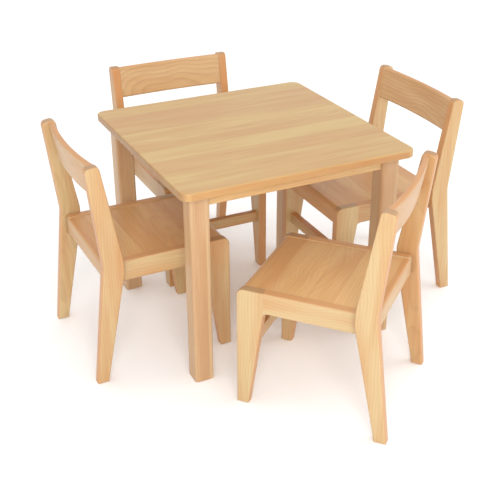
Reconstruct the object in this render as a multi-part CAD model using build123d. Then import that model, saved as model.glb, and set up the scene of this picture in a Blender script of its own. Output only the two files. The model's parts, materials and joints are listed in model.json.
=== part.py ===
from build123d import *
import os
from math import atan, cos, pi, sin, sqrt, tan

# Nursery furniture set: one square table and four low stacking chairs, all solid beech.
# Millimetres, +Z up. The origin is on the floor, in the middle of the whole set's footprint.
# The table's front is -Y. A chair is built facing +X, over its own centre, then placed.

# ---- Table ---------------------------------------------------------------------------------
TOP_SIDE = 695.0
TOP_THICKNESS = 22.0
TABLE_HEIGHT = 590.0
TOP_CORNER_RADIUS = 28.0
TOP_UPPER_ROUND = 5.0
TOP_LOWER_ROUND = 3.0
LEG_SIDE = 55.0
LEG_INSET = 32.0  # top's edge to the leg's outer faces
LEG_ROUND = 8.0
LEG_FOOT_ROUND = 3.0
APRON_DEPTH = 38.0
APRON_THICKNESS = 20.0
APRON_SETBACK = 10.0  # leg's outer face to the apron's outer face
APRON_ROUND = 3.0
TENON_LENGTH = 12.0
TENON_THICKNESS = 10.0
TENON_DEPTH = 26.0
BLOCK_THICKNESS = 22.0  # corner block, measured along the table's diagonal
COACH_SCREW_RADIUS = 4.0
COACH_SCREW_LENGTH = 62.0
COACH_HEAD_ACROSS = 13.0
COACH_HEAD_HEIGHT = 5.5
COACH_WASHER_RADIUS = 9.0
COACH_WASHER_THICKNESS = 1.6
TOP_SCREW_RADIUS = 2.25
TOP_SCREW_LENGTH = 40.0
TOP_SCREW_HEAD_RADIUS = 4.5
TOP_SCREW_HEAD_HEIGHT = 2.8
COUNTERBORE_RADIUS = 5.5
COUNTERBORE_DEPTH = 12.0
APRON_SCREW_SPACING = 260.0
FIT_GAP = 0.05  # between the corner blocks, the aprons and the washers

# ---- Chair, seen from the side: S runs back from the front leg's face, Z is the height ---------
CHAIR_DEPTH = 421.0
FRONT_WIDTH = 356.0  # over the front legs and side rails
BOARD_THICKNESS = 27.0  # legs, side rails and posts
ARRIS = 4.0
RAIL_TOP = 350.0
RAIL_BOTTOM = 290.0
RAIL_REAR = 369.0
FOOT_WIDTH = 32.0
FRONT_LEG_WIDTH = 74.0
LEG_NOSE_ROUND = 20.0
RAIL_FILLET = 12.0
RAIL_END_ROUND = 9.0
POST_FRONT = 321.0  # the rear posts are lapped onto the outsides of the side rails
POST_FRONT_BENDS = (330.0, 366.0)  # heights between which the post's front edge is upright
POST_KINK = (378.0, 361.0)  # rear edge, where the post turns
POST_TOP_FRONT = 369.0
POST_TOP_REAR = 407.0
POST_HEIGHT = 645.0
POST_TOP_SLOPE = 6.0  # its end is cut square, so the rear corner is this much lower
POST_TOP_ROUND = 14.0
BEND_ROUND = 60.0

# ---- Chair: pieces between the sides -----------------------------------------------------------
SEAT_RECESS = 3.0  # seat surface below the side rails' tops
SEAT_THICKNESS = 18.0
FRONT_RAIL_SETBACK = 1.5
FRONT_RAIL_DEPTH = 50.0
FRONT_RAIL_TAIL = 22.0  # thickness where the front rail meets the seat
FRONT_RAIL_NOSE_WIDTH = 30.0
REAR_RAIL_THICKNESS = 20.0
REAR_RAIL_BOTTOM = 299.0
RAIL_EDGE_ROUND = 3.0
STRETCHER_BOTTOM = 162.0
STRETCHER_TOP = 197.0
STRETCHER_FRONT = 17.0
STRETCHER_THICKNESS = 22.0
BACKREST_HEIGHT = 100.0
BACKREST_THICKNESS = 17.0
BACKREST_DROP = 4.0  # post top to the backrest's top, along the post
BACKREST_SETBACK = 4.0  # post's front edge to the backrest's ends
BACKREST_BOW = 14.0  # how far the backrest's middle lies behind its ends
BACKREST_ROUND = 6.0
BACKREST_HOUSING = 12.0  # how deep its ends sit in the posts

# ---- Dowels -----------------------------------------------------------------------------------
DOWEL_RADIUS = 4.0
HOLE_CLEARANCE = 0.1  # radial, in every bored hole
HOLE_EXTRA = 1.0  # room left past each end of a dowel or a screw
DOWEL_LENGTH = 38.0
DOWEL_BITE = 18.0  # length of a cross dowel inside the side rail or leg
LEG_DOWEL_HEIGHTS = (308.0, 334.0)
POST_DOWELS = ((336.0, 306.0), (336.0, 334.0))
CROSS_DOWELS = {
    "front_rail": ((22.0, 316.0), (38.0, 338.0)),
    "rear_rail": ((359.0, 311.0), (359.0, 333.0)),
    "front_stretcher": ((28.0, 171.0), (28.0, 188.0)),
    "seat_panel": ((130.0, 338.0), (265.0, 338.0)),
}

# ---- Where each chair stands: centre from the table's centre, and the way it faces -------------
CHAIRS = {
    "left": ((-352.6, 5.8), 0.5),
    "back": ((-3.9, 429.2), -90.0),
    "right": ((435.4, 24.6), 179.1),
    "front": ((24.8, -479.1), 131.0),
}

ON_BASE = (Align.CENTER, Align.CENTER, Align.MIN)
SIDES = {"left": 1, "right": -1}
CORNERS = {
    "front_left": (-1, -1),
    "front_right": (1, -1),
    "back_right": (1, 1),
    "back_left": (-1, 1),
}


# ---- Table -------------------------------------------------------------------------------------
HALF_TOP = TOP_SIDE / 2
TOP_UNDERSIDE = TABLE_HEIGHT - TOP_THICKNESS
LEG_OUTER = HALF_TOP - LEG_INSET
LEG_INNER = LEG_OUTER - LEG_SIDE
APRON_OUTER = LEG_OUTER - APRON_SETBACK
APRON_INNER = APRON_OUTER - APRON_THICKNESS
APRON_MIDDLE = (APRON_OUTER + APRON_INNER) / 2
APRON_LEVEL = TOP_UNDERSIDE - APRON_DEPTH / 2


def tabletop():
    """The square top, with round corners and rounded-over edges."""
    slab = extrude(RectangleRounded(TOP_SIDE, TOP_SIDE, TOP_CORNER_RADIUS), TOP_THICKNESS)
    slab = Pos(0, 0, TOP_UNDERSIDE) * slab
    slab = fillet(slab.faces().sort_by(Axis.Z)[-1].outer_wire().edges(), TOP_UPPER_ROUND)
    return fillet(slab.faces().sort_by(Axis.Z)[0].outer_wire().edges(), TOP_LOWER_ROUND)


def table_leg(x_side, y_side):
    """A square leg with rounded arrises and a softened foot."""
    centre = (LEG_OUTER + LEG_INNER) / 2
    leg = extrude(RectangleRounded(LEG_SIDE, LEG_SIDE, LEG_ROUND), TOP_UNDERSIDE)
    leg = fillet(leg.faces().sort_by(Axis.Z)[0].outer_wire().edges(), LEG_FOOT_ROUND)
    return Pos(x_side * centre, y_side * centre, 0) * leg


def apron():
    """The front apron: a rail with a stub tenon at each end."""
    rail = Box(2 * LEG_INNER, APRON_THICKNESS, APRON_DEPTH)
    rail = fillet(rail.edges().filter_by(Axis.X).group_by(Axis.Z)[0], APRON_ROUND)
    tenons = Box(2 * (LEG_INNER + TENON_LENGTH), TENON_THICKNESS, TENON_DEPTH)
    return Pos(0, -APRON_MIDDLE, APRON_LEVEL) * (rail + tenons)


def corner_block():
    """The front-left corner block: a diagonal brace with mitred ends on the two aprons."""
    far = 2 * LEG_INNER
    near = far - BLOCK_THICKNESS * sqrt(2)
    wall = APRON_INNER - FIT_GAP
    ends = [(wall, near - wall), (wall, far - wall), (far - wall, wall), (near - wall, wall)]
    plan = make_face(Polyline(*[(-x, -y) for x, y in ends], close=True))
    return Pos(0, 0, TOP_UNDERSIDE - APRON_DEPTH) * extrude(plan, APRON_DEPTH)


def coach_screw(hole=False):
    """The front-left coach screw, driven outwards along the diagonal into the leg."""
    start = (2 * LEG_INNER - BLOCK_THICKNESS * sqrt(2)) / 2
    seat = Plane(origin=(-start, -start, APRON_LEVEL), z_dir=(-1, -1, 0))
    if hole:
        bore = Circle(COACH_SCREW_RADIUS + HOLE_CLEARANCE)
        return extrude(seat.offset(-1) * bore, COACH_SCREW_LENGTH + 1 + HOLE_EXTRA)
    seat = seat.offset(-FIT_GAP)
    shank = extrude(seat * Circle(COACH_SCREW_RADIUS), COACH_SCREW_LENGTH)
    washer = extrude(seat * Circle(COACH_WASHER_RADIUS), -COACH_WASHER_THICKNESS)
    head_radius = COACH_HEAD_ACROSS / 2 / cos(pi / 6)
    head_seat = seat.offset(-COACH_WASHER_THICKNESS)
    head = extrude(head_seat * RegularPolygon(head_radius, 6), -COACH_HEAD_HEIGHT)
    return shank + washer + head


def top_screw(hole=False):
    """A countersunk screw that pulls the top down; its hole is counterbored from below."""
    base = TOP_UNDERSIDE - APRON_DEPTH
    head_level = base + COUNTERBORE_DEPTH
    if hole:
        bore = Cylinder(TOP_SCREW_RADIUS + HOLE_CLEARANCE, TOP_SCREW_LENGTH + HOLE_EXTRA, align=ON_BASE)
        counterbore = Cylinder(COUNTERBORE_RADIUS, COUNTERBORE_DEPTH + 1, align=ON_BASE)
        return Pos(0, 0, head_level) * bore + Pos(0, 0, base - 1) * counterbore
    shank = Cylinder(TOP_SCREW_RADIUS, TOP_SCREW_LENGTH, align=ON_BASE)
    head = Cone(TOP_SCREW_HEAD_RADIUS, TOP_SCREW_RADIUS, TOP_SCREW_HEAD_HEIGHT, align=ON_BASE)
    return Pos(0, 0, head_level) * shank + Pos(0, 0, head_level - TOP_SCREW_HEAD_HEIGHT) * head


def screw_places():
    """Two screws through each apron, spaced about its middle."""
    half = APRON_SCREW_SPACING / 2
    for turn in range(4):
        for along in (-half, half):
            yield Rot(0, 0, 90 * turn) * Pos(along, -APRON_MIDDLE, 0)


def make_table():
    """All the table's pieces, by node name."""
    turns = [Rot(0, 0, 90 * k) for k in range(4)]
    holes = [place * top_screw(hole=True) for place in screw_places()]
    coach_holes = [turn * coach_screw(hole=True) for turn in turns]
    aprons = [turn * apron() for turn in turns]
    parts = {"table_top": tabletop() - holes}
    for turn, (name, (x_side, y_side)) in enumerate(CORNERS.items()):
        leg = table_leg(x_side, y_side) - [aprons[turn], aprons[turn - 1]]
        parts[f"table_leg_{name}"] = leg - coach_holes[turn]
    for turn, name in enumerate(("front", "right", "back", "left")):
        parts[f"table_apron_{name}"] = aprons[turn] - holes[2 * turn:2 * turn + 2]
    blocks = [turn * (corner_block() - coach_screw(hole=True)) for turn in turns]
    parts["table_corner_blocks"] = Compound(children=blocks)
    parts["table_coach_screws"] = Compound(children=[turn * coach_screw() for turn in turns])
    parts["table_top_screws"] = Compound(children=[place * top_screw() for place in screw_places()])
    return parts


# ---- Chair -------------------------------------------------------------------------------------
CHAIR_FRONT = CHAIR_DEPTH / 2
SEAT_TOP = RAIL_TOP - SEAT_RECESS
SEAT_UNDERSIDE = SEAT_TOP - SEAT_THICKNESS


def side_plane(side, inset=0.0):
    """Plane of a side rail's outer face, moved inwards: local X runs back, local Y is up."""
    return Plane(
        origin=(CHAIR_FRONT, side * (FRONT_WIDTH / 2 - inset), 0),
        x_dir=(-1, 0, 0),
        z_dir=(0, 1, 0),
    )


def side_board(side, corners, inset=0.0):
    """A board that stands fore and aft, with rounded arrises, from (point, radius) corners."""
    outline = make_face(Polyline(*[point for point, _ in corners], close=True))
    for point, radius in corners:
        if radius:
            vertex = outline.vertices().sort_by_distance((*point, 0))[0]
            outline = fillet(vertex, radius)
    board = extrude(side_plane(side, inset) * outline, -side * BOARD_THICKNESS)
    faces = board.faces().sort_by(Axis.Y)
    return fillet([edge for face in (faces[0], faces[-1]) for edge in face.outer_wire().edges()], ARRIS)


def side_panel(side):
    """Front leg and side rail as one board, before the joint between them is cut."""
    corners = [
        ((0, 0), 0),
        ((FOOT_WIDTH, 0), 0),
        ((FRONT_LEG_WIDTH, RAIL_BOTTOM), RAIL_FILLET),
        ((RAIL_REAR, RAIL_BOTTOM), RAIL_EDGE_ROUND),
        ((RAIL_REAR, RAIL_TOP), RAIL_END_ROUND),
        ((0, RAIL_TOP), LEG_NOSE_ROUND),
    ]
    return side_board(side, corners)


def rear_post(side):
    """A rear leg and back post in one piece, kinked at the seat."""
    lower_bend, upper_bend = POST_FRONT_BENDS
    corners = [
        ((CHAIR_DEPTH - FOOT_WIDTH, 0), 0),
        ((CHAIR_DEPTH, 0), 0),
        (POST_KINK, BEND_ROUND),
        ((POST_TOP_REAR, POST_HEIGHT - POST_TOP_SLOPE), POST_TOP_ROUND),
        ((POST_TOP_FRONT, POST_HEIGHT), POST_TOP_ROUND),
        ((POST_FRONT, upper_bend), BEND_ROUND),
        ((POST_FRONT, lower_bend), BEND_ROUND),
    ]
    return side_board(side, corners, inset=-BOARD_THICKNESS)


def behind(start, end):
    """A block as wide and tall as the chair, between two places along it."""
    size = Box(end - start, 2 * FRONT_WIDTH, 2 * POST_HEIGHT)
    return Pos(CHAIR_FRONT - (start + end) / 2, 0, POST_HEIGHT / 2) * size


def cross_piece(points):
    """A bar between the side rails, from an outline of (S, height) points."""
    section = make_face(Polyline(*[(CHAIR_FRONT - s, z) for s, z in points], close=True))
    return extrude(Plane.XZ * section, FRONT_WIDTH / 2 - BOARD_THICKNESS, both=True)


def edge_at(piece, s, z):
    """The edge of a cross piece that passes nearest to (S, height)."""
    return piece.edges().filter_by(Axis.Y).sort_by_distance((CHAIR_FRONT - s, 0, z))[0]


def seat_panel():
    back = RAIL_REAR - REAR_RAIL_THICKNESS
    points = [
        (FRONT_LEG_WIDTH, SEAT_UNDERSIDE),
        (back, SEAT_UNDERSIDE),
        (back, SEAT_TOP),
        (FRONT_LEG_WIDTH, SEAT_TOP),
    ]
    return cross_piece(points)


def front_rail():
    """The nosing: a deep rounded front that thins to meet the seat panel."""
    front = FRONT_RAIL_SETBACK
    nose = front + FRONT_RAIL_NOSE_WIDTH
    bottom = SEAT_TOP - FRONT_RAIL_DEPTH
    tail = SEAT_TOP - FRONT_RAIL_TAIL
    points = [
        (front, bottom),
        (nose, bottom),
        (nose, tail),
        (FRONT_LEG_WIDTH, tail),
        (FRONT_LEG_WIDTH, SEAT_TOP),
        (front, SEAT_TOP),
    ]
    rail = cross_piece(points)
    rail = fillet(edge_at(rail, front, SEAT_TOP), LEG_NOSE_ROUND)
    rail = fillet(edge_at(rail, nose, tail), RAIL_FILLET)
    return fillet([edge_at(rail, front, bottom), edge_at(rail, nose, bottom)], RAIL_EDGE_ROUND)


def rear_rail():
    front = RAIL_REAR - REAR_RAIL_THICKNESS
    points = [
        (front, REAR_RAIL_BOTTOM),
        (RAIL_REAR, REAR_RAIL_BOTTOM),
        (RAIL_REAR, SEAT_TOP),
        (front, SEAT_TOP),
    ]
    rail = cross_piece(points)
    rail = fillet(edge_at(rail, RAIL_REAR, SEAT_TOP), RAIL_END_ROUND)
    lower = [edge_at(rail, front, REAR_RAIL_BOTTOM), edge_at(rail, RAIL_REAR, REAR_RAIL_BOTTOM)]
    return fillet(lower, RAIL_EDGE_ROUND)


def front_stretcher():
    back = STRETCHER_FRONT + STRETCHER_THICKNESS
    points = [
        (STRETCHER_FRONT, STRETCHER_BOTTOM),
        (back, STRETCHER_BOTTOM),
        (back, STRETCHER_TOP),
        (STRETCHER_FRONT, STRETCHER_TOP),
    ]
    bar = cross_piece(points)
    return fillet(bar.edges().filter_by(Axis.Y), RAIL_EDGE_ROUND)


def backrest():
    """A bowed panel that leans back with the posts' front edges, its ends housed in the posts."""
    bend = POST_FRONT_BENDS[1]
    lean = atan((POST_TOP_FRONT - POST_FRONT) / (POST_HEIGHT - bend))
    foot_z = POST_HEIGHT - BACKREST_DROP - BACKREST_HEIGHT * cos(lean)
    foot_s = POST_FRONT + (foot_z - bend) * tan(lean) + BACKREST_SETBACK / cos(lean)
    half_span = FRONT_WIDTH / 2
    bow_radius = (half_span**2 + BACKREST_BOW**2) / (2 * BACKREST_BOW)
    back = Plane(
        origin=(CHAIR_FRONT - foot_s, 0, foot_z),
        x_dir=(-cos(lean), 0, -sin(lean)),
        z_dir=(-sin(lean), 0, cos(lean)),
    )
    # The bow's centre lies on the middle line, in front of the backrest.
    centre = Pos(BACKREST_BOW - bow_radius, 0)
    ring = centre * (Circle(bow_radius + BACKREST_THICKNESS) - Circle(bow_radius))
    reach = Pos(bow_radius / 2, 0) * Rectangle(2 * bow_radius, 2 * (half_span + BACKREST_HOUSING))
    panel = extrude(back * (ring & centre * reach), BACKREST_HEIGHT)
    return fillet([edge for edge in panel.edges() if edge.length > half_span], BACKREST_ROUND)


def leg_dowel(side, height, hole=False):
    """A dowel that runs fore and aft through the joint of a front leg and its side rail."""
    extra = HOLE_EXTRA if hole else 0
    radius = DOWEL_RADIUS + (HOLE_CLEARANCE if hole else 0)
    start = CHAIR_FRONT - FRONT_LEG_WIDTH + DOWEL_LENGTH / 2 + extra
    middle = side * (FRONT_WIDTH - BOARD_THICKNESS) / 2
    across = Plane(origin=(start, middle, height), z_dir=(-1, 0, 0))
    return extrude(across * Circle(radius), DOWEL_LENGTH + 2 * extra)


def cross_dowel(side, s, height, depth, hole=False):
    """A dowel across the chair that starts `depth` inside the side rail's outer face."""
    extra = HOLE_EXTRA if hole else 0
    radius = DOWEL_RADIUS + (HOLE_CLEARANCE if hole else 0)
    face = Pos(s, height) * Circle(radius)
    return extrude(side_plane(side, depth - extra) * face, -side * (DOWEL_LENGTH + 2 * extra))


def make_chair():
    """All of one chair's pieces, by node name, standing over its own centre and facing +X."""
    bars = {
        "seat_panel": seat_panel(),
        "front_rail": front_rail(),
        "rear_rail": rear_rail(),
        "front_stretcher": front_stretcher(),
    }
    back = backrest()
    parts = {}
    dowels = []
    for side_name, side in SIDES.items():
        bores = [leg_dowel(side, height, hole=True) for height in LEG_DOWEL_HEIGHTS]
        dowels += [leg_dowel(side, height) for height in LEG_DOWEL_HEIGHTS]
        for name, places in CROSS_DOWELS.items():
            depth = BOARD_THICKNESS - DOWEL_BITE
            holes = [cross_dowel(side, *place, depth, hole=True) for place in places]
            dowels += [cross_dowel(side, *place, depth) for place in places]
            bars[name] -= holes
            bores += holes
        lap = DOWEL_BITE - DOWEL_LENGTH
        lap_holes = [cross_dowel(side, *place, lap, hole=True) for place in POST_DOWELS]
        dowels += [cross_dowel(side, *place, lap) for place in POST_DOWELS]
        panel = side_panel(side) - bores - lap_holes
        parts[f"{side_name}_front_leg"] = panel & behind(-50, FRONT_LEG_WIDTH)
        parts[f"{side_name}_side_rail"] = panel & behind(FRONT_LEG_WIDTH, CHAIR_DEPTH)
        parts[f"{side_name}_rear_post"] = rear_post(side) - back - lap_holes
    parts.update(bars)
    parts["backrest"] = back
    parts["dowels"] = Compound(children=dowels)
    return parts


# ---- The set -----------------------------------------------------------------------------------
def make_set():
    """The table's and the four chairs' pieces, about the table's centre."""
    parts = make_table()
    chair = make_chair()
    for name, ((x, y), facing) in CHAIRS.items():
        place = Pos(x, y, 0) * Rot(0, 0, facing)
        for piece, shape in chair.items():
            parts[f"{name}_chair_{piece}"] = place * shape
    return parts


def main():
    """Centre the set on its footprint and write each piece."""
    os.makedirs("parts", exist_ok=True)
    parts = make_set()
    boxes = [shape.bounding_box() for shape in parts.values()]
    middle_x = (min(box.min.X for box in boxes) + max(box.max.X for box in boxes)) / 2
    middle_y = (min(box.min.Y for box in boxes) + max(box.max.Y for box in boxes)) / 2
    print("table centre", round(-middle_x, 3), round(-middle_y, 3))
    for name, shape in parts.items():
        export_step(Pos(-middle_x, -middle_y, 0) * shape, f"parts/{name}.step")


main()
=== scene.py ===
import json
import logging
import math
import random
from dataclasses import dataclass, field
from enum import Enum
from typing import Any, Dict, List, Sequence, Tuple

import bmesh
import bpy
from mathutils import Matrix, Vector

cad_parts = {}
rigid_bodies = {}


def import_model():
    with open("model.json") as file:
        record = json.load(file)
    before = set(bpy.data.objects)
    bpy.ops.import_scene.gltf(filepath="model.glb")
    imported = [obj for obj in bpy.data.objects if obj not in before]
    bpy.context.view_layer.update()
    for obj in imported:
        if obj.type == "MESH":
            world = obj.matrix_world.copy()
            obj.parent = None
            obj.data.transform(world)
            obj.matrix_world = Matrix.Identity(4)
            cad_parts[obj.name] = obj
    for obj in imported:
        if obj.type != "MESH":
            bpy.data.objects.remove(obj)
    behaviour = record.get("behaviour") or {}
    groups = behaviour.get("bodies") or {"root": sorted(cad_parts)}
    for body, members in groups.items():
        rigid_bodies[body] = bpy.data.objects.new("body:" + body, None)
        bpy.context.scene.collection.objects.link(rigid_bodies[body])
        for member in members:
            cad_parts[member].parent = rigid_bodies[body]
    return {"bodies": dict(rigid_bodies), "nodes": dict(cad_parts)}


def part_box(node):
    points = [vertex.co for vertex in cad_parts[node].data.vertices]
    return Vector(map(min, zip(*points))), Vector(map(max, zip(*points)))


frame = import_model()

LOG = logging.getLogger("kids_table_and_chairs")
Color = Tuple[float, float, float]
Tree = bpy.types.NodeTree
Node = bpy.types.Node
Socket = bpy.types.NodeSocket

SEED = 41
FLOAT, VECTOR = "NodeSocketFloat", "NodeSocketVector"

# Sizes of the shared textures, in metres, or in cycles per metre along, across and through a board.
UNDIVIDED = 10.0  # a stave wider than any board
GLUE_LINE_WIDTH = 0.0006
EDGE_HIGHLIGHT_RADIUS = 0.004
DRIFT_STRETCH = (1.0, 0.45, 0.45)
DRIFT_SCALE = 4.2
RIPPLE_STRETCH = (7.0, 60.0, 60.0)
RIPPLE_DEPTH = 0.0007
FIBRE_STRETCH = (14.0, 900.0, 900.0)
STREAK_STRETCH = (5.0, 190.0, 190.0)
FLECK_STRETCH = (260.0, 1500.0, 1500.0)
CLOUD_STRETCH = (3.2, 26.0, 26.0)
DRAWING_STRETCH = (900.0, 900.0, 120.0)
BUMP_DISTANCE = 0.0002

# How far the shared effects colour the wood.
CLOUD_CONTRAST = 2.2
PINK_TINT = (0.54, 0.29, 0.19)
PINK_STRENGTH = 0.10
GLUE_STRENGTH = 0.35
END_GRAIN_STRENGTH = 0.62

# Boards that are warmer or paler than chance would make them.
BOARD_TONES: Dict[str, float] = {
    "back_chair_left_rear_post": 1.3,
    "back_chair_right_rear_post": 1.1,
    "back_chair_backrest": -0.9,
    "front_chair_right_rear_post": 1.2,
    "front_chair_backrest": 0.9,
    "front_chair_left_rear_post": -0.7,
    "right_chair_left_rear_post": -0.9,
    "right_chair_right_rear_post": -0.5,
    "front_chair_left_front_leg": -0.8,
    "front_chair_left_side_rail": -0.8,
    "right_chair_backrest": 0.4,
    "front_chair_seat_panel": -0.9,
    "left_chair_seat_panel": 0.9,
    "right_chair_seat_panel": 0.8,
}


# ---- Choices ---------------------------------------------------------------------------------
class Grain(Enum):
    """Which way the fibres of a board run, in the piece of furniture it belongs to."""

    FORE_AFT = "fore_aft"
    ACROSS = "across"
    UPRIGHT = "upright"


class Face(Enum):
    """Which side of a board shows its broad face."""

    UPWARD = "upward"
    SIDEWAYS = "sideways"
    FORWARD = "forward"


# ---- Finishes --------------------------------------------------------------------------------
@dataclass(frozen=True)
class WoodFinish:
    """Lacquered solid beech, as glued boards or as one piece.

    Sizes are in metres. The two tones are the extremes that glued boards vary between.
    """

    name: str
    slot: str
    pale: Color
    warm: Color
    late_wood: Color
    stave_width: float = UNDIVIDED
    stave_depth: float = UNDIVIDED
    stave_contrast: float = 0.0
    ring_spacing: float = 0.0065
    ring_strength: float = 0.26
    pith_height: float = 0.09
    wander: float = 0.005
    fibre_strength: float = 0.17
    fleck_strength: float = 0.20
    end_grain: Color = (0.315, 0.160, 0.070)
    narrow_face: Color = (0.520, 0.232, 0.084)
    narrow_strength: float = 0.70
    # The colour and strength of a painted highlight along the rounded edges.
    edge_highlight_color: Color = (0.580, 0.360, 0.175)
    edge_highlight_strength: float = 0.25
    roughness: float = 0.42
    coat_weight: float = 0.18
    coat_roughness: float = 0.22
    bump: float = 0.18


@dataclass(frozen=True)
class SteelFinish:
    """Bright zinc-plated steel of the hidden fixings."""

    name: str = "zinc_plated_steel"
    slot: str = "zinc_steel"
    color: Color = (0.56, 0.57, 0.60)
    roughness: float = 0.34


PALE: Color = (0.552, 0.404, 0.210)
WARM: Color = (0.505, 0.262, 0.106)
LATE: Color = (0.330, 0.155, 0.055)

TOP_FINISH = WoodFinish(
    "beech_top",
    "beech_top",
    pale=(0.540, 0.375, 0.146),
    warm=(0.478, 0.268, 0.096),
    late_wood=(0.325, 0.165, 0.058),
    stave_width=0.0772,
    stave_contrast=0.75,
    ring_strength=0.26,
    narrow_strength=0.25,
    # A paler painted highlight along the top's rounded edges.
    edge_highlight_color=(0.740, 0.560, 0.340),
    edge_highlight_strength=0.40,
)
LEG_FINISH = WoodFinish(
    "beech_strips",
    "beech_strips",
    pale=(0.560, 0.384, 0.212),
    warm=(0.480, 0.282, 0.140),
    late_wood=LATE,
    stave_width=0.0275,
    stave_depth=0.0275,
    stave_contrast=1.1,
    ring_strength=0.22,
    narrow_strength=0.0,
)
FRAME_FINISH = WoodFinish("beech_frame", "beech_frame", PALE, WARM, LATE)
PANEL_FINISH = WoodFinish(
    "beech_panel",
    "beech_panel",
    pale=(0.640, 0.395, 0.175),
    warm=(0.560, 0.292, 0.112),
    late_wood=(0.370, 0.165, 0.048),
    stave_width=0.072,
    stave_contrast=0.8,
    ring_spacing=0.0085,
    ring_strength=0.24,
    pith_height=0.060,
    wander=0.010,
    narrow_strength=0.2,
)
BACK_FINISH = WoodFinish(
    "beech_back",
    "beech_panel",
    pale=(0.590, 0.388, 0.200),
    warm=(0.510, 0.286, 0.118),
    late_wood=(0.320, 0.145, 0.050),
    ring_spacing=0.0095,
    ring_strength=0.40,
    pith_height=0.055,
    wander=0.008,
)
# The aprons are paler than the frame: painted light that lifts the shade under the top.
APRON_PAINTED_LIGHT_FINISH = WoodFinish(
    "beech_apron_painted_light",
    "beech_frame",
    pale=(0.665, 0.470, 0.225),
    warm=(0.600, 0.320, 0.125),
    late_wood=LATE,
)
DOWEL_FINISH = WoodFinish("beech_dowel", "beech_dowel", PALE, PALE, WARM, coat_weight=0.0, roughness=0.6)
STEEL_FINISH = SteelFinish()


# ---- Node helpers ----------------------------------------------------------------------------
class Graph:
    """A thin layer over a node tree, so that node networks read like formulas."""

    def __init__(self, tree: Tree) -> None:
        """Wrap a tree.

        Args:
            tree: the node tree to add nodes to.
        """
        self.tree = tree

    def node(self, kind: str, **settings: Any) -> Node:
        """Add a node.

        Args:
            kind: the node's class name without its ShaderNode prefix.
            **settings: attributes to set on it.

        Returns:
            The new node.
        """
        made = self.tree.nodes.new("ShaderNode" + kind if not kind.startswith("Node") else kind)
        for key, value in settings.items():
            setattr(made, key, value)
        return made

    def feed(self, socket: Socket, value: Any) -> None:
        """Link a socket to another node's output, or set its own value.

        Args:
            socket: the input socket.
            value: an output socket, a number, or a sequence of numbers.
        """
        if isinstance(value, bpy.types.NodeSocket):
            self.tree.links.new(value, socket)
        elif isinstance(value, (tuple, list)) and socket.type == "RGBA" and len(value) == 3:
            socket.default_value = (*value, 1.0)
        else:
            socket.default_value = value

    def math(self, operation: str, *values: Any, clamp: bool = False) -> Socket:
        """A Math node's result.

        Args:
            operation: the node's operation.
            *values: its inputs.
            clamp: whether the result is kept from 0 to 1.

        Returns:
            The result's socket.
        """
        made = self.node("Math", operation=operation, use_clamp=clamp)
        for socket, value in zip(made.inputs, values):
            self.feed(socket, value)
        return made.outputs[0]

    def vector(self, operation: str, *values: Any) -> Socket:
        """A Vector Math node's result.

        Args:
            operation: the node's operation.
            *values: its inputs.

        Returns:
            The socket with the result: the number for a dot product or a length, else the vector.
        """
        made = self.node("VectorMath", operation=operation)
        for socket, value in zip(made.inputs, values):
            self.feed(socket, value)
        scalar = operation in ("DOT_PRODUCT", "LENGTH", "DISTANCE")
        return made.outputs["Value" if scalar else "Vector"]

    def combine(self, x: Any, y: Any, z: Any) -> Socket:
        """A vector from three numbers.

        Args:
            x: its first number, as a value or a socket.
            y: its second.
            z: its third.

        Returns:
            The vector's socket.
        """
        made = self.node("CombineXYZ")
        for socket, value in zip(made.inputs, (x, y, z)):
            self.feed(socket, value)
        return made.outputs[0]

    def split(self, vector: Socket) -> Tuple[Socket, Socket, Socket]:
        """A vector's three numbers.

        Args:
            vector: the vector's socket.

        Returns:
            The three numbers' sockets.
        """
        made = self.node("SeparateXYZ")
        self.feed(made.inputs[0], vector)
        return made.outputs[0], made.outputs[1], made.outputs[2]

    def noise(self, vector: Socket, scale: float, detail: float = 2.0, rough: float = 0.5) -> Node:
        """A 3-D noise texture.

        Args:
            vector: where to read it.
            scale: its scale.
            detail: its number of octaves.
            rough: how much each octave adds.

        Returns:
            The noise node.
        """
        made = self.node("TexNoise", noise_dimensions="3D")
        self.feed(made.inputs["Vector"], vector)
        made.inputs["Scale"].default_value = scale
        made.inputs["Detail"].default_value = detail
        made.inputs["Roughness"].default_value = rough
        return made

    def ramp(self, value: Socket, low: float, high: float, to: Tuple[float, float] = (0.0, 1.0)) -> Socket:
        """A smooth step of a value.

        Args:
            value: the number that is mapped.
            low: where the step starts.
            high: where it ends.
            to: the results at either end.

        Returns:
            The mapped number.
        """
        made = self.node("MapRange", interpolation_type="SMOOTHSTEP")
        self.feed(made.inputs["Value"], value)
        for key, number in zip(("From Min", "From Max", "To Min", "To Max"), (low, high, *to)):
            made.inputs[key].default_value = number
        return made.outputs["Result"]

    def mix(self, factor: Any, first: Any, second: Any, blend: str = "MIX") -> Socket:
        """A mix of two colours.

        Args:
            factor: how much of the second.
            first: a colour or a socket.
            second: a colour or a socket.
            blend: the blend mode.

        Returns:
            The mixed colour.
        """
        made = self.node("Mix", data_type="RGBA", blend_type=blend, clamp_factor=True)
        self.feed(made.inputs["Factor"], factor)
        colors = [s for s in made.inputs if s.type == "RGBA"]
        self.feed(colors[0], first)
        self.feed(colors[1], second)
        return [s for s in made.outputs if s.type == "RGBA"][0]


def new_group(
    name: str, inputs: Sequence[Tuple[str, str]], outputs: Sequence[Tuple[str, str]]
) -> Tuple[Tree, Graph, Node, Node]:
    """An empty shader node group with named sockets.

    Args:
        name: the group's name.
        inputs: each input's name and socket type.
        outputs: each output's name and socket type.

    Returns:
        The group, its graph, its input node and its output node.
    """
    tree = bpy.data.node_groups.new(name, "ShaderNodeTree")
    for label, kind in inputs:
        tree.interface.new_socket(name=label, in_out="INPUT", socket_type=kind)
    for label, kind in outputs:
        tree.interface.new_socket(name=label, in_out="OUTPUT", socket_type=kind)
    graph = Graph(tree)
    return tree, graph, graph.node("NodeGroupInput"), graph.node("NodeGroupOutput")


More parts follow.
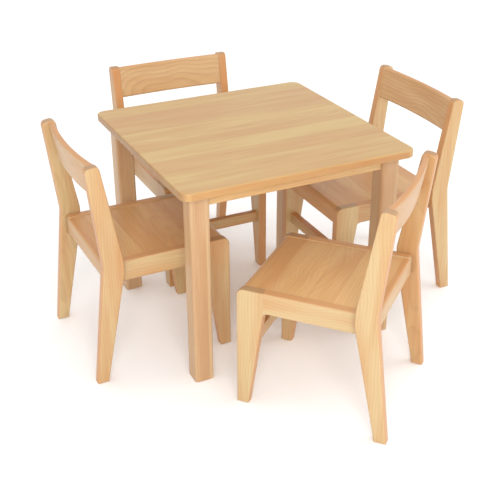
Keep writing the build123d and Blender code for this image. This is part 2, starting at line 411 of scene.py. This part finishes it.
def stave_group() -> Tree:
    """A group that divides a board into glued staves.

    Returns:
        The group. Its outputs are each stave's random tone, hue and shift of the grain, and the glue lines.
    """
    tree, graph, source, sink = new_group(
        "GluedStaves",
        [("Vector", VECTOR), ("Width", FLOAT), ("Depth", FLOAT)],
        [("Tone", FLOAT), ("Hue", FLOAT), ("Shift", VECTOR), ("Glue Line", FLOAT)],
    )
    _, across, through = graph.split(source.outputs["Vector"])
    cells, lines = [], []
    for place, size in ((across, source.outputs["Width"]), (through, source.outputs["Depth"])):
        scaled = graph.math("ADD", graph.math("DIVIDE", place, size), 0.5)
        cells.append(graph.math("FLOOR", scaled))
        gap = graph.math("MULTIPLY", graph.math("PINGPONG", scaled, 0.5), size)
        lines.append(graph.ramp(gap, 0.0, GLUE_LINE_WIDTH, to=(1.0, 0.0)))
    cell = graph.combine(graph.math("ADD", cells[0], 0.37), graph.math("ADD", cells[1], 0.71), 0.13)
    random_cell = graph.node("TexWhiteNoise", noise_dimensions="3D")
    graph.feed(random_cell.inputs["Vector"], cell)
    hue, shift, _ = graph.split(random_cell.outputs["Color"])
    graph.feed(sink.inputs["Tone"], random_cell.outputs["Value"])
    graph.feed(sink.inputs["Hue"], hue)
    moved = graph.vector("SCALE", random_cell.outputs["Color"])
    graph.feed(moved.node.inputs["Scale"], 0.6)
    graph.feed(sink.inputs["Shift"], moved)
    graph.feed(sink.inputs["Glue Line"], graph.math("MAXIMUM", *lines))
    return tree


def beech_group() -> Tree:
    """A group with the figure of beech: growth rings, fibres and ray flecks in solid wood.

    Returns:
        The group. X of its Vector runs along the fibres, Y across the broad face and Z through the board.
    """
    tree, graph, source, sink = new_group(
        "BeechFigure",
        [
            ("Vector", VECTOR),
            ("Shift", VECTOR),
            ("Ring Spacing", FLOAT),
            ("Pith", FLOAT),
            ("Wander", FLOAT),
        ],
        [("Rings", FLOAT), ("Fibres", FLOAT), ("Flecks", FLOAT), ("Cloud", FLOAT)],
    )
    place = graph.vector("ADD", source.outputs["Vector"], source.outputs["Shift"])
    local = source.outputs["Vector"]
    # Growth rings are cylinders round a pith that wanders slowly along the board.
    slow = graph.noise(graph.vector("MULTIPLY", place, DRIFT_STRETCH), DRIFT_SCALE, 1.5, 0.5)
    drift = graph.vector("SUBTRACT", slow.outputs["Color"], (0.5, 0.5, 0.5))
    stretched = graph.vector("SCALE", drift)
    graph.feed(stretched.node.inputs["Scale"], graph.math("MULTIPLY", source.outputs["Wander"], 9.0))
    bent = graph.vector("ADD", local, stretched)
    _, across, through = graph.split(bent)
    _, side_shift, _ = graph.split(source.outputs["Shift"])
    pith_side = graph.math("MULTIPLY", graph.math("SUBTRACT", side_shift, 0.3), 0.16)
    sideways = graph.math("ADD", across, pith_side)
    depth = graph.math("ADD", through, source.outputs["Pith"])
    radius = graph.vector("LENGTH", graph.combine(0.0, sideways, depth))
    ripple = graph.noise(graph.vector("MULTIPLY", place, RIPPLE_STRETCH), 1.0, 2.0, 0.5)
    waves = graph.math("MULTIPLY", graph.math("SUBTRACT", ripple.outputs[0], 0.5), RIPPLE_DEPTH)
    wavy = graph.math("ADD", radius, waves)
    phase = graph.math("FRACT", graph.math("DIVIDE", wavy, source.outputs["Ring Spacing"]))
    # Each ring darkens slowly, then ends sharply.
    rise = graph.math("POWER", phase, 3.0)
    rings = graph.math("MULTIPLY", rise, graph.ramp(phase, 0.93, 1.0, to=(1.0, 0.0)))
    fibre = graph.noise(graph.vector("MULTIPLY", place, FIBRE_STRETCH), 1.0, 2.0, 0.6)
    streak = graph.noise(graph.vector("MULTIPLY", place, STREAK_STRETCH), 1.0, 2.0, 0.55)
    fine = graph.math("MULTIPLY", fibre.outputs[0], 0.45)
    fibres = graph.math("ADD", fine, graph.math("MULTIPLY", streak.outputs[0], 0.55))
    dash = graph.noise(graph.vector("MULTIPLY", place, FLECK_STRETCH), 1.0, 1.0, 0.4)
    flecks = graph.ramp(dash.outputs[0], 0.60, 0.72)
    cloud = graph.noise(graph.vector("MULTIPLY", place, CLOUD_STRETCH), 1.0, 2.0, 0.5)
    results = {"Rings": rings, "Fibres": fibres, "Flecks": flecks, "Cloud": cloud.outputs[0]}
    for label, value in results.items():
        graph.feed(sink.inputs[label], value)
    return tree


def edge_highlight_group() -> Tree:
    """A group that finds the rounded edges, where a highlight is painted into the wood's colour.

    Returns:
        The group, whose output is 0 on flat faces and rises to 1 along edges.
    """
    tree, graph, source, sink = new_group("EdgeHighlightMask", [("Vector", VECTOR)], [("Mask", FLOAT)])
    bevel = graph.node("Bevel", samples=4)
    bevel.inputs["Radius"].default_value = EDGE_HIGHLIGHT_RADIUS
    true_normal = graph.node("NewGeometry").outputs["Normal"]
    alike = graph.vector("DOT_PRODUCT", bevel.outputs[0], true_normal)
    # Noise breaks the painted edge highlight into patches.
    highlight_breakup = graph.noise(source.outputs["Vector"], 38.0, 2.0, 0.6)
    mask = graph.ramp(alike, 0.90, 0.998, to=(1.0, 0.0))
    graph.feed(sink.inputs["Mask"], graph.math("MULTIPLY", mask, graph.ramp(highlight_breakup.outputs[0], 0.2, 0.7)))
    return tree


class WoodShop:
    """Makes the beech and steel materials from the shared node groups."""

    def __init__(self) -> None:
        """Build each shared group once."""
        self.staves = stave_group()
        self.beech = beech_group()
        self.edge_highlights = edge_highlight_group()
        self.random = random.Random(SEED)

    def wood(
        self,
        name: str,
        finish: WoodFinish,
        centre: Vector,
        along: Vector,
        across: Vector,
        tone: float,
    ) -> bpy.types.Material:
        """A wood material whose grain follows one board.

        Args:
            name: the material's name.
            finish: the wood's finish.
            centre: the board's middle, in the row frame.
            along: the way its fibres run.
            across: the way across its broad face.
            tone: how warm this board is, from -1 to 1.

        Returns:
            The material.
        """
        material = bpy.data.materials.new(name)
        material.use_nodes = True
        tree = material.node_tree
        tree.nodes.clear()
        graph = Graph(tree)
        coordinates = graph.node("TexCoord")
        through = along.cross(across)
        turn = Matrix((along, across, through)).transposed()
        mapping = graph.node("Mapping", vector_type="TEXTURE")
        mapping.inputs["Location"].default_value = centre
        mapping.inputs["Rotation"].default_value = turn.to_euler("XYZ")
        graph.feed(mapping.inputs["Vector"], coordinates.outputs["Object"])
        local = mapping.outputs[0]

        staves = graph.node("Group", node_tree=self.staves)
        graph.feed(staves.inputs["Vector"], local)
        graph.feed(staves.inputs["Width"], finish.stave_width)
        graph.feed(staves.inputs["Depth"], finish.stave_depth)
        own_shift = tuple(self.random.uniform(0.0, 1.0) for _ in range(3))
        shift = graph.vector("ADD", staves.outputs["Shift"], own_shift)

        beech = graph.node("Group", node_tree=self.beech)
        graph.feed(beech.inputs["Vector"], local)
        graph.feed(beech.inputs["Shift"], shift)
        graph.feed(beech.inputs["Ring Spacing"], finish.ring_spacing)
        graph.feed(beech.inputs["Pith"], finish.pith_height * self.random.uniform(0.8, 1.25))
        graph.feed(beech.inputs["Wander"], finish.wander)

        edge_highlights = graph.node("Group", node_tree=self.edge_highlights)
        graph.feed(edge_highlights.inputs["Vector"], coordinates.outputs["Object"])
        edge_highlight = edge_highlights.outputs["Mask"]

        contrast = finish.stave_contrast
        spread = graph.math("MULTIPLY", graph.math("SUBTRACT", staves.outputs["Tone"], 0.5), contrast)
        clouds = graph.math("MULTIPLY", graph.math("SUBTRACT", beech.outputs["Cloud"], 0.5), CLOUD_CONTRAST)
        warmth = graph.math("ADD", graph.math("ADD", spread, clouds), 0.5 + 0.3 * tone, clamp=True)
        color = graph.mix(warmth, finish.pale, finish.warm)
        ringed = graph.math("MULTIPLY", beech.outputs["Rings"], finish.ring_strength)
        color = graph.mix(ringed, color, finish.late_wood)
        darker = graph.ramp(beech.outputs["Fibres"], 0.36, 0.66)
        fibre_dark = graph.math("MULTIPLY", darker, finish.fibre_strength)
        color = graph.mix(fibre_dark, color, finish.late_wood)
        fleck_dark = graph.math("MULTIPLY", beech.outputs["Flecks"], finish.fleck_strength)
        color = graph.mix(fleck_dark, color, finish.late_wood)
        pinkness = graph.math("MULTIPLY", staves.outputs["Hue"], PINK_STRENGTH * contrast)
        color = graph.mix(pinkness, color, PINK_TINT)
        glue = graph.math("MULTIPLY", staves.outputs["Glue Line"], GLUE_STRENGTH * min(1.0, contrast))
        color = graph.mix(glue, color, finish.late_wood)
        facing = graph.vector("DOT_PRODUCT", coordinates.outputs["Normal"], tuple(along))
        sideways = graph.vector("DOT_PRODUCT", coordinates.outputs["Normal"], tuple(across))
        narrow = graph.ramp(graph.math("ABSOLUTE", sideways), 0.55, 0.92, to=(0.0, finish.narrow_strength))
        color = graph.mix(narrow, color, finish.narrow_face)
        # Painted highlight: a paler colour laid along the rounded edges, in place of the lacquer's
        # reflection there.
        color = graph.mix(graph.math("MULTIPLY", edge_highlight, finish.edge_highlight_strength), color, finish.edge_highlight_color)
        ends = graph.ramp(graph.math("ABSOLUTE", facing), 0.45, 0.85, to=(0.0, END_GRAIN_STRENGTH))
        color = graph.mix(ends, color, finish.end_grain)

        shader = graph.node("BsdfPrincipled")
        graph.feed(shader.inputs["Base Color"], color)
        dull = graph.math("MULTIPLY", graph.math("SUBTRACT", beech.outputs["Fibres"], 0.5), 0.22)
        satin = graph.math("ADD", finish.roughness, dull)
        polished = graph.math("SUBTRACT", satin, graph.math("MULTIPLY", edge_highlight, 0.08), clamp=True)
        graph.feed(shader.inputs["Roughness"], polished)
        shader.inputs["Specular IOR Level"].default_value = 0.36
        shader.inputs["Coat Weight"].default_value = finish.coat_weight
        shader.inputs["Coat Roughness"].default_value = finish.coat_roughness
        shader.inputs["Coat IOR"].default_value = 1.48

        pores = graph.math("MULTIPLY", beech.outputs["Fibres"], 0.7)
        relief = graph.math("SUBTRACT", 0.0, graph.math("ADD", pores, staves.outputs["Glue Line"]))
        bump = graph.node("Bump")
        bump.inputs["Strength"].default_value = finish.bump
        bump.inputs["Distance"].default_value = BUMP_DISTANCE
        graph.feed(bump.inputs["Height"], relief)
        graph.feed(shader.inputs["Normal"], bump.outputs[0])
        output = graph.node("OutputMaterial")
        graph.feed(output.inputs["Surface"], shader.outputs[0])
        return material

    def steel(self, finish: SteelFinish) -> bpy.types.Material:
        """The fixings' plated steel, with faint drawing marks.

        Args:
            finish: the steel's finish.

        Returns:
            The material.
        """
        material = bpy.data.materials.new(finish.name)
        material.use_nodes = True
        tree = material.node_tree
        tree.nodes.clear()
        graph = Graph(tree)
        coordinates = graph.node("TexCoord").outputs["Object"]
        marks = graph.noise(graph.vector("MULTIPLY", coordinates, DRAWING_STRETCH), 1.0, 3.0, 0.6)
        shader = graph.node("BsdfPrincipled")
        dull = tuple(0.8 * part for part in finish.color)
        graph.feed(shader.inputs["Base Color"], graph.mix(marks.outputs[0], finish.color, dull))
        spread = (finish.roughness - 0.06, finish.roughness + 0.12)
        graph.feed(shader.inputs["Roughness"], graph.ramp(marks.outputs[0], 0.2, 0.8, to=spread))
        shader.inputs["Metallic"].default_value = 1.0
        output = graph.node("OutputMaterial")
        graph.feed(output.inputs["Surface"], shader.outputs[0])
        return material


# ---- Boards ----------------------------------------------------------------------------------
def dress(node: str, material: bpy.types.Material) -> None:
    """Give a CAD piece one material in every slot.

    Args:
        node: the piece's node name.
        material: the material.
    """
    mesh = frame["nodes"][node].data
    mesh.materials.clear()
    mesh.materials.append(material)


def middle(node: str) -> Vector:
    """The middle of a CAD piece's box.

    Args:
        node: the piece's node name.

    Returns:
        The point, in the row frame.
    """
    low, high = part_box(node)
    return (low + high) / 2


@dataclass(frozen=True)
class Board:
    """One piece of wood: its name within the furniture, its finish and how its grain lies."""

    piece: str
    finish: WoodFinish
    grain: Grain
    face: Face
    tone: float = 0.0


@dataclass
class Furniture:
    """Something made of boards, which looks along `facing`, in degrees from +X."""

    prefix: str
    facing: float
    boards: List[Board] = field(default_factory=list)

    def axes(self, board: Board) -> Tuple[Vector, Vector]:
        """Directions along a board's fibres and across its broad face.

        Args:
            board: the board.

        Returns:
            The two unit vectors.
        """
        angle = math.radians(self.facing)
        ahead = Vector((math.cos(angle), math.sin(angle), 0.0))
        aside = Vector((-math.sin(angle), math.cos(angle), 0.0))
        up = Vector((0.0, 0.0, 1.0))
        fibres = {Grain.FORE_AFT: ahead, Grain.ACROSS: aside, Grain.UPRIGHT: up}[board.grain]
        normal = {Face.UPWARD: up, Face.SIDEWAYS: aside, Face.FORWARD: ahead}[board.face]
        return fibres, normal.cross(fibres)

    def dress(self, shop: WoodShop) -> None:
        """Give each board its own wood.

        Args:
            shop: the maker of materials.
        """
        for board in self.boards:
            node = self.prefix + board.piece
            along, across = self.axes(board)
            tone = BOARD_TONES.get(node, board.tone)
            material = shop.wood(f"wood_{node}", board.finish, middle(node), along, across, tone)
            dress(node, material)
            LOG.info("dressed %s in %s", node, board.finish.name)


def table_boards() -> List[Board]:
    """The table's wooden pieces.

    Returns:
        Its boards.
    """
    boards = [Board("top", TOP_FINISH, Grain.ACROSS, Face.UPWARD)]
    for index, corner in enumerate(("front_left", "front_right", "back_right", "back_left")):
        boards.append(Board(f"leg_{corner}", LEG_FINISH, Grain.UPRIGHT, Face.FORWARD, 0.3 - 0.2 * index))
    for side, grain, face in (
        ("front", Grain.ACROSS, Face.FORWARD),
        ("back", Grain.ACROSS, Face.FORWARD),
        ("left", Grain.FORE_AFT, Face.SIDEWAYS),
        ("right", Grain.FORE_AFT, Face.SIDEWAYS),
    ):
        boards.append(Board(f"apron_{side}", APRON_PAINTED_LIGHT_FINISH, grain, face))
    boards.append(Board("corner_blocks", FRAME_FINISH, Grain.UPRIGHT, Face.FORWARD, 0.8))
    return boards


def chair_boards(draws: random.Random) -> List[Board]:
    """One chair's wooden pieces, each board a little warmer or paler than the next.

    Args:
        draws: the source of the boards' tones.

    Returns:
        Its boards.
    """
    boards = []
    for side in ("left", "right"):
        boards += [
            Board(f"{side}_{piece}", FRAME_FINISH, grain, Face.SIDEWAYS, draws.uniform(-0.9, warmest))
            for piece, grain, warmest in (
                ("front_leg", Grain.UPRIGHT, 0.3),
                ("side_rail", Grain.FORE_AFT, 0.2),
                ("rear_post", Grain.UPRIGHT, 0.2),
            )
        ]
    boards += [
        Board("seat_panel", PANEL_FINISH, Grain.ACROSS, Face.UPWARD, draws.uniform(0.0, 0.6)),
        Board("front_rail", PANEL_FINISH, Grain.ACROSS, Face.UPWARD, draws.uniform(0.4, 1.0)),
        Board("rear_rail", FRAME_FINISH, Grain.ACROSS, Face.FORWARD, draws.uniform(0.0, 0.6)),
        Board("front_stretcher", FRAME_FINISH, Grain.ACROSS, Face.FORWARD, draws.uniform(-0.2, 0.4)),
        Board("backrest", BACK_FINISH, Grain.ACROSS, Face.FORWARD, draws.uniform(-0.3, 0.5)),
        Board("dowels", DOWEL_FINISH, Grain.ACROSS, Face.FORWARD),
    ]
    return boards


class Table(Furniture):
    """The square table: a top of glued staves, legs of glued strips, aprons and hidden fixings."""

    def __init__(self) -> None:
        """List its boards."""
        super().__init__("table_", 90.0, table_boards())

    def dress(self, shop: WoodShop) -> None:
        """Dress the boards and the steel fixings.

        Args:
            shop: the maker of materials.
        """
        super().dress(shop)
        steel = shop.steel(STEEL_FINISH)
        for piece in ("coach_screws", "top_screws"):
            dress(self.prefix + piece, steel)
            LOG.info("dressed %s in %s", self.prefix + piece, STEEL_FINISH.name)


class Chair(Furniture):
    """One stacking chair."""

    def __init__(self, name: str, draws: random.Random) -> None:
        """Find which way it faces, and list its boards.

        Args:
            name: its body's name.
            draws: the source of its boards' tones.
        """
        left = middle(f"{name}_left_front_leg")
        right = middle(f"{name}_right_front_leg")
        span = left - right
        facing = math.degrees(math.atan2(span.y, span.x)) - 90.0
        super().__init__(f"{name}_", facing, chair_boards(draws))


# ---- Studio ----------------------------------------------------------------------------------
@dataclass
class Studio:
    """A pale sweep of floor, soft light from the upper left, and the camera."""

    lens: float = 67.33
    azimuth: float = 26.02
    elevation: float = 27.62
    roll: float = -0.18
    distance: float = 2.77078
    aim: Tuple[float, float, float] = (-0.03947, -0.09265, 0.250)
    floor_size: float = 30.0
    floor_color: Color = (0.97, 0.97, 0.97)
    world_color: Color = (1.0, 1.0, 1.0)
    world_strength: float = 1.02

    def target(self) -> Vector:
        """The point the camera looks at, set out from the table's centre.

        Returns:
            The point, in the row frame.
        """
        centre = middle("table_top")
        return Vector((centre.x, centre.y, 0.0)) + Vector(self.aim)

    def make_floor(self) -> None:
        """A wide pale floor at the object's foot."""
        mesh = bpy.data.meshes.new("floor")
        shape = bmesh.new()
        bmesh.ops.create_grid(shape, x_segments=1, y_segments=1, size=self.floor_size / 2)
        shape.to_mesh(mesh)
        shape.free()
        floor = bpy.data.objects.new("floor", mesh)
        bpy.context.scene.collection.objects.link(floor)
        material = bpy.data.materials.new("floor_paper")
        material.use_nodes = True
        shader = material.node_tree.nodes["Principled BSDF"]
        shader.inputs["Base Color"].default_value = (*self.floor_color, 1.0)
        shader.inputs["Roughness"].default_value = 0.9
        shader.inputs["Specular IOR Level"].default_value = 0.1
        mesh.materials.append(material)

    def make_world(self) -> None:
        """An even white surround."""
        world = bpy.data.worlds.new("studio")
        world.use_nodes = True
        background = world.node_tree.nodes["Background"]
        background.inputs["Color"].default_value = (*self.world_color, 1.0)
        background.inputs["Strength"].default_value = self.world_strength
        bpy.context.scene.world = world

    def add_light(self, name: str, place: Sequence[float], size: float, power: float, color: Color) -> None:
        """A square soft light aimed at the object.

        Args:
            name: its name.
            place: where it hangs, from the target.
            size: its side, in metres.
            power: its power, in watts.
            color: its colour.
        """
        data = bpy.data.lights.new(name, "AREA")
        data.shape = "SQUARE"
        data.size = size
        data.energy = power
        data.color = color
        light = bpy.data.objects.new(name, data)
        light.location = self.target() + Vector(place)
        light.rotation_euler = (-Vector(place)).to_track_quat("-Z", "Y").to_euler()
        bpy.context.scene.collection.objects.link(light)

    def make_lights(self) -> None:
        """Key from the upper left, fill from the right, and a light over the back."""
        self.add_light("key", (-1.5, -3.5, 2.0), 1.9, 96.0, (1.0, 0.985, 0.96))
        self.add_light("fill", (3.0, -1.2, 1.4), 2.2, 26.0, (0.97, 0.985, 1.0))
        self.add_light("top", (0.3, 1.4, 3.2), 1.6, 10.0, (1.0, 1.0, 1.0))

    def make_camera(self) -> None:
        """The camera, looking down at the set from the front left."""
        az, el, roll = (math.radians(v) for v in (self.azimuth, self.elevation, self.roll))
        back = Vector((-math.sin(az) * math.cos(el), -math.cos(az) * math.cos(el), math.sin(el)))
        right = (-back).cross(Vector((0.0, 0.0, 1.0))).normalized()
        up = right.cross(-back)
        turned = math.cos(roll) * right + math.sin(roll) * up
        upright = math.cos(roll) * up - math.sin(roll) * right
        pose = Matrix((turned, upright, back)).transposed().to_4x4()
        pose.translation = self.target() + back * self.distance
        data = bpy.data.cameras.new("camera")
        data.lens = self.lens
        data.sensor_width = 36.0
        data.clip_start, data.clip_end = 0.05, 100.0
        camera = bpy.data.objects.new("camera", data)
        camera.matrix_world = pose
        bpy.context.scene.collection.objects.link(camera)
        bpy.context.scene.camera = camera

    def build(self) -> None:
        """Make the floor, the light and the camera."""
        self.make_floor()
        self.make_world()
        self.make_lights()
        self.make_camera()
        view = bpy.context.scene.view_settings
        view.view_transform = "Standard"
        view.look = "None"
        LOG.info("built studio")


def main() -> None:
    """Dress the table and the chairs, and build the studio."""
    logging.basicConfig(level=logging.INFO, format="%(name)s: %(message)s")
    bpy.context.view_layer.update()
    shop = WoodShop()
    Table().dress(shop)
    draws = random.Random(SEED)
    for body in frame["bodies"]:
        if body.endswith("_chair"):
            Chair(body, draws).dress(shop)
    Studio().build()


if __name__ == "__main__":
    main()
